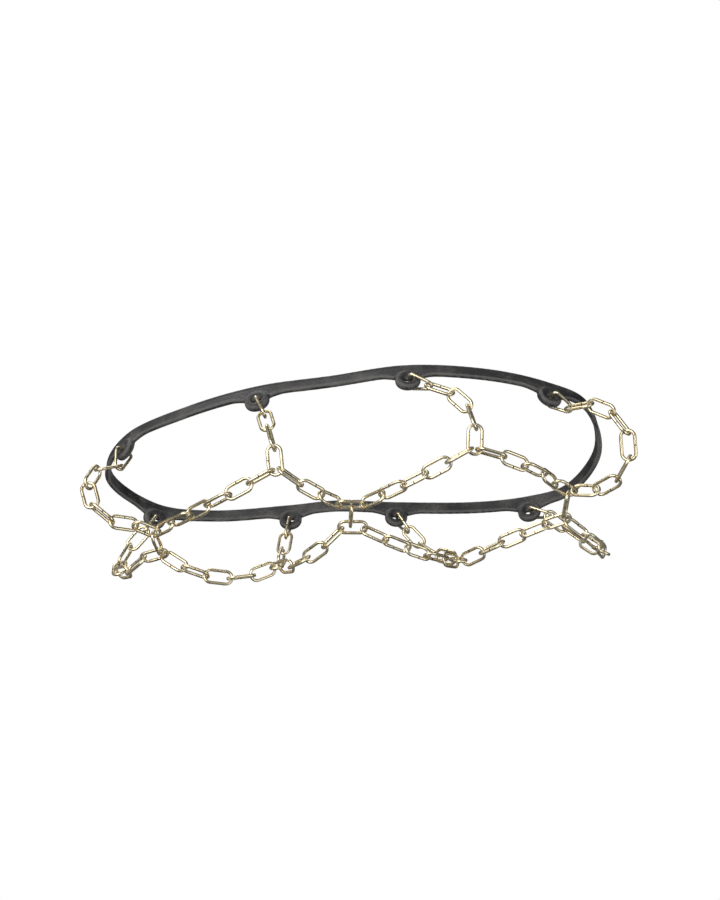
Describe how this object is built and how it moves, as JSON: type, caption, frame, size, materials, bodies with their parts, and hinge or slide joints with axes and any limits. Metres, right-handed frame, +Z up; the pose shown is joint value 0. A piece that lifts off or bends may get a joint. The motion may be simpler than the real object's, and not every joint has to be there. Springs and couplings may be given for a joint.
{
  "type": "shoe ice cleats",
  "caption": "Stretchy rubber shoe harness with eyelets and rings carrying a net of bent wire chain links under the sole for grip on ice",
  "frame": {"origin": "the point under the arch of the sole, at the middle of the chain link that ties the two sides of the net together, where the boot sole seats", "axes": "+X from heel to toe, +Z up out of the sole into the boot, -Y the outer side of the foot (the side the picture shows)"},
  "size_m": [0.3279, 0.1359, 0.0817],
  "materials": {
    "black_rubber": "moulded black elastomer, satin, slightly dusty",
    "zinc_wire": "bright wire with pale yellow passivated zinc plating"
  },
  "bodies": {
    "harness": {"rubber_harness": "black_rubber"},
    "heel_tie": {"heel_tie_link": "zinc_wire"},
    "arch_tie": {"arch_tie_link": "zinc_wire"},
    "toe_tie": {"toe_tie_link": "zinc_wire"},
    "ring_heel_outer_b": {"ring_heel_outer": "zinc_wire"},
    "ring_rear_outer_b": {"ring_rear_outer": "zinc_wire"},
    "ring_front_outer_b": {"ring_front_outer": "zinc_wire"},
    "ring_toe_outer_b": {"ring_toe_outer": "zinc_wire"},
    "heel_outer_1": {"heel_link_outer_1": "zinc_wire"},
    "heel_outer_2": {"heel_link_outer_2": "zinc_wire"},
    "heel_outer_3": {"heel_link_outer_3": "zinc_wire"},
    "heel_outer_4": {"heel_link_outer_4": "zinc_wire"},
    "heel_outer_5": {"heel_link_outer_5": "zinc_wire"},
    "heel_outer_6": {"heel_link_outer_6": "zinc_wire"},
    "rear_links_outer_b": {"rear_links_outer": "zinc_wire"},
    "rear_fork_outer": {"rear_fork_link_outer": "zinc_wire"},
    "front_outer_1": {"front_link_outer_1": "zinc_wire"},
    "front_outer_2": {"front_link_outer_2": "zinc_wire"},
    "front_outer_3": {"front_link_outer_3": "zinc_wire"},
    "front_fork_outer": {"front_fork_link_outer": "zinc_wire"},
    "toe_outer_1": {"toe_link_outer_1": "zinc_wire"},
    "toe_outer_2": {"toe_link_outer_2": "zinc_wire"},
    "toe_outer_3": {"toe_link_outer_3": "zinc_wire"},
    "toe_outer_4": {"toe_link_outer_4": "zinc_wire"},
    "toe_outer_5": {"toe_link_outer_5": "zinc_wire"},
    "toe_outer_6": {"toe_link_outer_6": "zinc_wire"},
    "toe_outer_7": {"toe_link_outer_7": "zinc_wire"},
    "heel_to_rear_outer": {"sole_heel_to_rear_outer": "zinc_wire"},
    "rear_to_arch_outer": {"sole_rear_to_arch_outer": "zinc_wire"},
    "arch_to_front_outer": {"sole_arch_to_front_outer": "zinc_wire"},
    "front_to_toe_outer": {"sole_front_to_toe_outer": "zinc_wire"},
    "arch_link_outer_b": {"arch_link_outer": "zinc_wire"},
    "ring_heel_inner_b": {"ring_heel_inner": "zinc_wire"},
    "ring_rear_inner_b": {"ring_rear_inner": "zinc_wire"},
    "ring_front_inner_b": {"ring_front_inner": "zinc_wire"},
    "ring_toe_inner_b": {"ring_toe_inner": "zinc_wire"},
    "heel_inner_1": {"heel_link_inner_1": "zinc_wire"},
    "heel_inner_2": {"heel_link_inner_2": "zinc_wire"},
    "heel_inner_3": {"heel_link_inner_3": "zinc_wire"},
    "heel_inner_4": {"heel_link_inner_4": "zinc_wire"},
    "heel_inner_5": {"heel_link_inner_5": "zinc_wire"},
    "heel_inner_6": {"heel_link_inner_6": "zinc_wire"},
    "rear_links_inner_b": {"rear_links_inner": "zinc_wire"},
    "rear_fork_inner": {"rear_fork_link_inner": "zinc_wire"},
    "front_inner_1": {"front_link_inner_1": "zinc_wire"},
    "front_inner_2": {"front_link_inner_2": "zinc_wire"},
    "front_inner_3": {"front_link_inner_3": "zinc_wire"},
    "front_fork_inner": {"front_fork_link_inner": "zinc_wire"},
    "toe_inner_1": {"toe_link_inner_1": "zinc_wire"},
    "toe_inner_2": {"toe_link_inner_2": "zinc_wire"},
    "toe_inner_3": {"toe_link_inner_3": "zinc_wire"},
    "toe_inner_4": {"toe_link_inner_4": "zinc_wire"},
    "toe_inner_5": {"toe_link_inner_5": "zinc_wire"},
    "toe_inner_6": {"toe_link_inner_6": "zinc_wire"},
    "toe_inner_7": {"toe_link_inner_7": "zinc_wire"},
    "heel_to_rear_inner": {"sole_heel_to_rear_inner": "zinc_wire"},
    "rear_to_arch_inner": {"sole_rear_to_arch_inner": "zinc_wire"},
    "arch_to_front_inner": {"sole_arch_to_front_inner": "zinc_wire"},
    "front_to_toe_inner": {"sole_front_to_toe_inner": "zinc_wire"},
    "arch_link_inner_b": {"arch_link_inner": "zinc_wire"}
  },
  "joints": [
    {"name": "heel_tie_roll", "type": "hinge", "parent": "harness", "child": "heel_tie", "pos_m": [-0.12, 0.0155, 0], "axis": [0.1191, 0.9929, 0], "range_deg": [-4, 4]},
    {"name": "arch_tie_roll", "type": "hinge", "parent": "harness", "child": "arch_tie", "pos_m": [0, 0, 0], "axis": [-0.0995, 0.995, 0], "range_deg": [-4, 4]},
    {"name": "toe_tie_roll", "type": "hinge", "parent": "harness", "child": "toe_tie", "pos_m": [0.1305, 0.004, 0.002], "axis": [-0.1255, 0.9412, -0.3137], "range_deg": [-4, 4]},
    {"name": "ring_heel_outer_turn", "type": "hinge", "parent": "harness", "child": "ring_heel_outer_b", "pos_m": [-0.14017, -0.01585, 0.052], "axis": [-0.19, 0.1682, -0.9673], "range_deg": [-4, 4]},
    {"name": "ring_rear_outer_turn", "type": "hinge", "parent": "harness", "child": "ring_rear_outer_b", "pos_m": [-0.0529, -0.05002, 0.051], "axis": [0.3508, -0.0663, -0.9341], "range_deg": [-4, 4]},
    {"name": "ring_front_outer_turn", "type": "hinge", "parent": "harness", "child": "ring_front_outer_b", "pos_m": [0.03862, -0.05899, 0.05201], "axis": [0.8942, -0.019, -0.4473], "range_deg": [-4, 4]},
    {"name": "ring_toe_outer_turn", "type": "hinge", "parent": "harness", "child": "ring_toe_outer_b", "pos_m": [0.12314, -0.04634, 0.04405], "axis": [0.8165, 0.324, -0.4778], "range_deg": [-4, 4]},
    {"name": "heel_outer_1_roll", "type": "hinge", "parent": "harness", "child": "heel_outer_1", "pos_m": [-0.12384, 0.00269, 0], "axis": [0.7828, 0.6222, 0], "range_deg": [-4, 4]},
    {"name": "heel_outer_2_roll", "type": "hinge", "parent": "harness", "child": "heel_outer_2", "pos_m": [-0.13572, -0.00563, -0.00154], "axis": [-0.8338, -0.5108, -0.2093], "range_deg": [-4, 4]},
    {"name": "heel_outer_3_roll", "type": "hinge", "parent": "harness", "child": "heel_outer_3", "pos_m": [-0.14724, -0.01311, 0.00027], "axis": [-0.7326, -0.5061, 0.4551], "range_deg": [-4, 4]},
    {"name": "heel_outer_4_roll", "type": "hinge", "parent": "harness", "child": "heel_outer_4", "pos_m": [-0.15483, -0.01883, 0.01033], "axis": [-0.3005, -0.2728, 0.9139], "range_deg": [-4, 4]},
    {"name": "heel_outer_5_roll", "type": "hinge", "parent": "harness", "child": "heel_outer_5", "pos_m": [-0.15507, -0.02022, 0.0241], "axis": [0.2674, 0.0837, 0.96], "range_deg": [-4, 4]},
    {"name": "heel_outer_6_roll", "type": "hinge", "parent": "harness", "child": "heel_outer_6", "pos_m": [-0.14786, -0.01665, 0.03537], "axis": [0.7145, 0.4024, 0.5724], "range_deg": [-4, 4]},
    {"name": "rear_links_outer_roll", "type": "hinge", "parent": "harness", "child": "rear_links_outer_b", "pos_m": [-0.04512, -0.05081, 0.02473], "axis": [-0.2232, -0.0568, 0.9731], "range_deg": [-4, 4]},
    {"name": "rear_fork_outer_roll", "type": "hinge", "parent": "harness", "child": "rear_fork_outer", "pos_m": [-0.0415, -0.0444, 0.005], "axis": [-0.0503, -0.6541, 0.7547], "range_deg": [-4, 4]},
    {"name": "front_outer_1_roll", "type": "hinge", "parent": "harness", "child": "front_outer_1", "pos_m": [0.07358, -0.05347, 0.02203], "axis": [-0.1559, -0.1476, 0.9767], "range_deg": [-4, 4]},
    {"name": "front_outer_2_roll", "type": "hinge", "parent": "harness", "child": "front_outer_2", "pos_m": [0.06797, -0.0558, 0.03491], "axis": [-0.6081, -0.1691, 0.7757], "range_deg": [-4, 4]},
    {"name": "front_outer_3_roll", "type": "hinge", "parent": "harness", "child": "front_outer_3", "pos_m": [0.0568, -0.05814, 0.04344], "axis": [-0.911, -0.1492, 0.3844], "range_deg": [-4, 4]},
    {"name": "front_fork_outer_roll", "type": "hinge", "parent": "harness", "child": "front_fork_outer", "pos_m": [0.074, -0.048, 0.009], "axis": [0.0995, -0.597, 0.796], "range_deg": [-4, 4]},
    {"name": "toe_outer_1_roll", "type": "hinge", "parent": "harness", "child": "toe_outer_1", "pos_m": [0.14019, -0.00967, 0.00004], "axis": [0.7691, -0.406, -0.4936], "range_deg": [-4, 4]},
    {"name": "toe_outer_2_roll", "type": "hinge", "parent": "harness", "child": "toe_outer_2", "pos_m": [0.15092, -0.01791, -0.00443], "axis": [0.69, -0.7146, -0.115], "range_deg": [-4, 4]},
    {"name": "toe_outer_3_roll", "type": "hinge", "parent": "harness", "child": "toe_outer_3", "pos_m": [0.15911, -0.02941, -0.00298], "axis": [0.4248, -0.8496, 0.3125], "range_deg": [-4, 4]},
    {"name": "toe_outer_4_roll", "type": "hinge", "parent": "harness", "child": "toe_outer_4", "pos_m": [0.1621, -0.04094, 0.00442], "axis": [-0.0184, -0.7196, 0.6942], "range_deg": [-4, 4]},
    {"name": "toe_outer_5_roll", "type": "hinge", "parent": "harness", "child": "toe_outer_5", "pos_m": [0.15862, -0.04866, 0.0156], "axis": [-0.455, -0.3312, 0.8266], "range_deg": [-4, 4]},
    {"name": "toe_outer_6_roll", "type": "hinge", "parent": "harness", "child": "toe_outer_6", "pos_m": [0.15009, -0.05031, 0.02682], "axis": [-0.7055, 0.1077, 0.7005], "range_deg": [-4, 4]},
    {"name": "toe_outer_7_roll", "type": "hinge", "parent": "harness", "child": "toe_outer_7", "pos_m": [0.13927, -0.04585, 0.03494], "axis": [-0.7667, 0.499, 0.4038], "range_deg": [-4, 4]},
    {"name": "heel_to_rear_outer_roll", "type": "hinge", "parent": "harness", "child": "heel_to_rear_outer", "pos_m": [-0.08073, -0.01801, 0.00037], "axis": [0.8563, -0.5163, 0.0085], "range_deg": [-4, 4]},
    {"name": "rear_to_arch_outer_roll", "type": "hinge", "parent": "harness", "child": "rear_to_arch_outer", "pos_m": [-0.02247, -0.02664, -0.00044], "axis": [0.7513, 0.6582, -0.0474], "range_deg": [-4, 4]},
    {"name": "arch_to_front_outer_roll", "type": "hinge", "parent": "harness", "child": "arch_to_front_outer", "pos_m": [0.03923, -0.02792, 0.00152], "axis": [0.8792, -0.4693, 0.0827], "range_deg": [-4, 4]},
    {"name": "front_to_toe_outer_roll", "type": "hinge", "parent": "harness", "child": "front_to_toe_outer", "pos_m": [0.10504, -0.02402, 0.00417], "axis": [0.8216, 0.5701, -0.005], "range_deg": [-4, 4]},
    {"name": "arch_link_outer_roll", "type": "hinge", "parent": "harness", "child": "arch_link_outer_b", "pos_m": [0.0005, -0.0102, -0.001], "axis": [0.9948, 0.1015, 0], "range_deg": [-4, 4]},
    {"name": "ring_heel_inner_turn", "type": "hinge", "parent": "harness", "child": "ring_heel_inner_b", "pos_m": [-0.1342, 0.04987, 0.052], "axis": [-0.3123, -0.2018, -0.9283], "range_deg": [-4, 4]},
    {"name": "ring_rear_inner_turn", "type": "hinge", "parent": "harness", "child": "ring_rear_inner_b", "pos_m": [-0.04279, 0.06, 0.053], "axis": [-0.206, 0.0025, -0.9786], "range_deg": [-4, 4]},
    {"name": "ring_front_inner_turn", "type": "hinge", "parent": "harness", "child": "ring_front_inner_b", "pos_m": [0.02951, 0.06198, 0.05201], "axis": [0.5062, 0.022, -0.8621], "range_deg": [-4, 4]},
    {"name": "ring_toe_inner_turn", "type": "hinge", "parent": "harness", "child": "ring_toe_inner_b", "pos_m": [0.11912, 0.05529, 0.04405], "axis": [0.8199, -0.269, -0.5054], "range_deg": [-4, 4]},
    {"name": "heel_inner_1_roll", "type": "hinge", "parent": "harness", "child": "heel_inner_1", "pos_m": [-0.12382, 0.02693, 0], "axis": [0.9507, -0.3102, 0], "range_deg": [-4, 4]},
    {"name": "heel_inner_2_roll", "type": "hinge", "parent": "harness", "child": "heel_inner_2", "pos_m": [-0.13649, 0.03371, -0.00119], "axis": [-0.7732, 0.6132, -0.1617], "range_deg": [-4, 4]},
    {"name": "heel_inner_3_roll", "type": "hinge", "parent": "harness", "child": "heel_inner_3", "pos_m": [-0.14658, 0.04299, 0.00108], "axis": [-0.5984, 0.649, 0.4698], "range_deg": [-4, 4]},
    {"name": "heel_inner_4_roll", "type": "hinge", "parent": "harness", "child": "heel_inner_4", "pos_m": [-0.15219, 0.05074, 0.01114], "axis": [-0.1659, 0.4054, 0.8989], "range_deg": [-4, 4]},
    {"name": "heel_inner_5_roll", "type": "hinge", "parent": "harness", "child": "heel_inner_5", "pos_m": [-0.15093, 0.05363, 0.02466], "axis": [0.338, -0.0127, 0.9411], "range_deg": [-4, 4]},
    {"name": "heel_inner_6_roll", "type": "hinge", "parent": "harness", "child": "heel_inner_6", "pos_m": [-0.14333, 0.05041, 0.03583], "axis": [0.6964, -0.4254, 0.578], "range_deg": [-4, 4]},
    {"name": "rear_links_inner_roll", "type": "hinge", "parent": "harness", "child": "rear_links_inner_b", "pos_m": [-0.04732, 0.05932, 0.02614], "axis": [0.129, 0.1613, 0.9784], "range_deg": [-4, 4]},
    {"name": "rear_fork_inner_roll", "type": "hinge", "parent": "harness", "child": "rear_fork_inner", "pos_m": [-0.0495, 0.051, 0.0065], "axis": [0.0499, 0.5993, 0.799], "range_deg": [-4, 4]},
    {"name": "front_inner_1_roll", "type": "hinge", "parent": "harness", "child": "front_inner_1", "pos_m": [0.06, 0.06189, 0.01476], "axis": [-0.679, 0.4079, 0.6103], "range_deg": [-4, 4]},
    {"name": "front_inner_2_roll", "type": "hinge", "parent": "harness", "child": "front_inner_2", "pos_m": [0.04998, 0.06548, 0.02457], "axis": [-0.6847, 0.0795, 0.7245], "range_deg": [-4, 4]},
    {"name": "front_inner_3_roll", "type": "hinge", "parent": "harness", "child": "front_inner_3", "pos_m": [0.04048, 0.06416, 0.03541], "axis": [-0.6075, -0.2585, 0.7511], "range_deg": [-4, 4]},
    {"name": "front_fork_inner_roll", "type": "hinge", "parent": "harness", "child": "front_fork_inner", "pos_m": [0.0665, 0.054, 0.005], "axis": [-0.2049, 0.666, 0.7172], "range_deg": [-4, 4]},
    {"name": "toe_inner_1_roll", "type": "hinge", "parent": "harness", "child": "toe_inner_1", "pos_m": [0.13717, 0.019, -0.00395], "axis": [0.7625, 0.4899, -0.4226], "range_deg": [-4, 4]},
    {"name": "toe_inner_2_roll", "type": "hinge", "parent": "harness", "child": "toe_inner_2", "pos_m": [0.14762, 0.02812, -0.00735], "axis": [0.6588, 0.7513, -0.0401], "range_deg": [-4, 4]},
    {"name": "toe_inner_3_roll", "type": "hinge", "parent": "harness", "child": "toe_inner_3", "pos_m": [0.15533, 0.03984, -0.00492], "axis": [0.3898, 0.8428, 0.3711], "range_deg": [-4, 4]},
    {"name": "toe_inner_4_roll", "type": "hinge", "parent": "harness", "child": "toe_inner_4", "pos_m": [0.15793, 0.05109, 0.00314], "axis": [-0.0362, 0.6879, 0.7249], "range_deg": [-4, 4]},
    {"name": "toe_inner_5_roll", "type": "hinge", "parent": "harness", "child": "toe_inner_5", "pos_m": [0.15435, 0.05839, 0.01463], "axis": [-0.4502, 0.3055, 0.839], "range_deg": [-4, 4]},
    {"name": "toe_inner_6_roll", "type": "hinge", "parent": "harness", "child": "toe_inner_6", "pos_m": [0.14595, 0.0598, 0.02604], "axis": [-0.6924, -0.1131, 0.7126], "range_deg": [-4, 4]},
    {"name": "toe_inner_7_roll", "type": "hinge", "parent": "harness", "child": "toe_inner_7", "pos_m": [0.13526, 0.0554, 0.03442], "axis": [-0.7627, -0.4858, 0.427], "range_deg": [-4, 4]},
    {"name": "heel_to_rear_inner_roll", "type": "hinge", "parent": "harness", "child": "heel_to_rear_inner", "pos_m": [-0.08492, 0.03767, 0.00092], "axis": [0.9544, 0.2973, 0.0269], "range_deg": [-4, 4]},
    {"name": "rear_to_arch_inner_roll", "type": "hinge", "parent": "harness", "child": "rear_to_arch_inner", "pos_m": [-0.02691, 0.02912, 0.00025], "axis": [0.7462, -0.6628, -0.0628], "range_deg": [-4, 4]},
    {"name": "arch_to_front_inner_roll", "type": "hinge", "parent": "harness", "child": "arch_to_front_inner", "pos_m": [0.03622, 0.0311, -0.00048], "axis": [0.84, 0.5418, 0.0286], "range_deg": [-4, 4]},
    {"name": "front_to_toe_inner_roll", "type": "hinge", "parent": "harness", "child": "front_to_toe_inner", "pos_m": [0.10107, 0.03151, 0.00034], "axis": [0.8521, -0.5228, -0.0251], "range_deg": [-4, 4]},
    {"name": "arch_link_inner_roll", "type": "hinge", "parent": "harness", "child": "arch_link_inner_b", "pos_m": [0.0005, 0.0102, -0.001], "axis": [0.9948, 0.1015, 0], "range_deg": [-4, 4]}
  ],
  "couplings": [
    {"joint": "heel_outer_2_roll", "follows": "heel_outer_1_roll", "ratio": 1},
    {"joint": "heel_outer_3_roll", "follows": "heel_outer_1_roll", "ratio": 1},
    {"joint": "heel_outer_4_roll", "follows": "heel_outer_1_roll", "ratio": 1},
    {"joint": "heel_outer_5_roll", "follows": "heel_outer_1_roll", "ratio": 1},
    {"joint": "heel_outer_6_roll", "follows": "heel_outer_1_roll", "ratio": 1},
    {"joint": "front_outer_2_roll", "follows": "front_outer_1_roll", "ratio": 1},
    {"joint": "front_outer_3_roll", "follows": "front_outer_1_roll", "ratio": 1},
    {"joint": "toe_outer_2_roll", "follows": "toe_outer_1_roll", "ratio": 1},
    {"joint": "toe_outer_3_roll", "follows": "toe_outer_1_roll", "ratio": 1},
    {"joint": "toe_outer_4_roll", "follows": "toe_outer_1_roll", "ratio": 1},
    {"joint": "toe_outer_5_roll", "follows": "toe_outer_1_roll", "ratio": 1},
    {"joint": "toe_outer_6_roll", "follows": "toe_outer_1_roll", "ratio": 1},
    {"joint": "toe_outer_7_roll", "follows": "toe_outer_1_roll", "ratio": 1},
    {"joint": "heel_inner_2_roll", "follows": "heel_inner_1_roll", "ratio": 1},
    {"joint": "heel_inner_3_roll", "follows": "heel_inner_1_roll", "ratio": 1},
    {"joint": "heel_inner_4_roll", "follows": "heel_inner_1_roll", "ratio": 1},
    {"joint": "heel_inner_5_roll", "follows": "heel_inner_1_roll", "ratio": 1},
    {"joint": "heel_inner_6_roll", "follows": "heel_inner_1_roll", "ratio": 1},
    {"joint": "front_inner_2_roll", "follows": "front_inner_1_roll", "ratio": 1},
    {"joint": "front_inner_3_roll", "follows": "front_inner_1_roll", "ratio": 1},
    {"joint": "toe_inner_2_roll", "follows": "toe_inner_1_roll", "ratio": 1},
    {"joint": "toe_inner_3_roll", "follows": "toe_inner_1_roll", "ratio": 1},
    {"joint": "toe_inner_4_roll", "follows": "toe_inner_1_roll", "ratio": 1},
    {"joint": "toe_inner_5_roll", "follows": "toe_inner_1_roll", "ratio": 1},
    {"joint": "toe_inner_6_roll", "follows": "toe_inner_1_roll", "ratio": 1},
    {"joint": "toe_inner_7_roll", "follows": "toe_inner_1_roll", "ratio": 1}
  ]
}
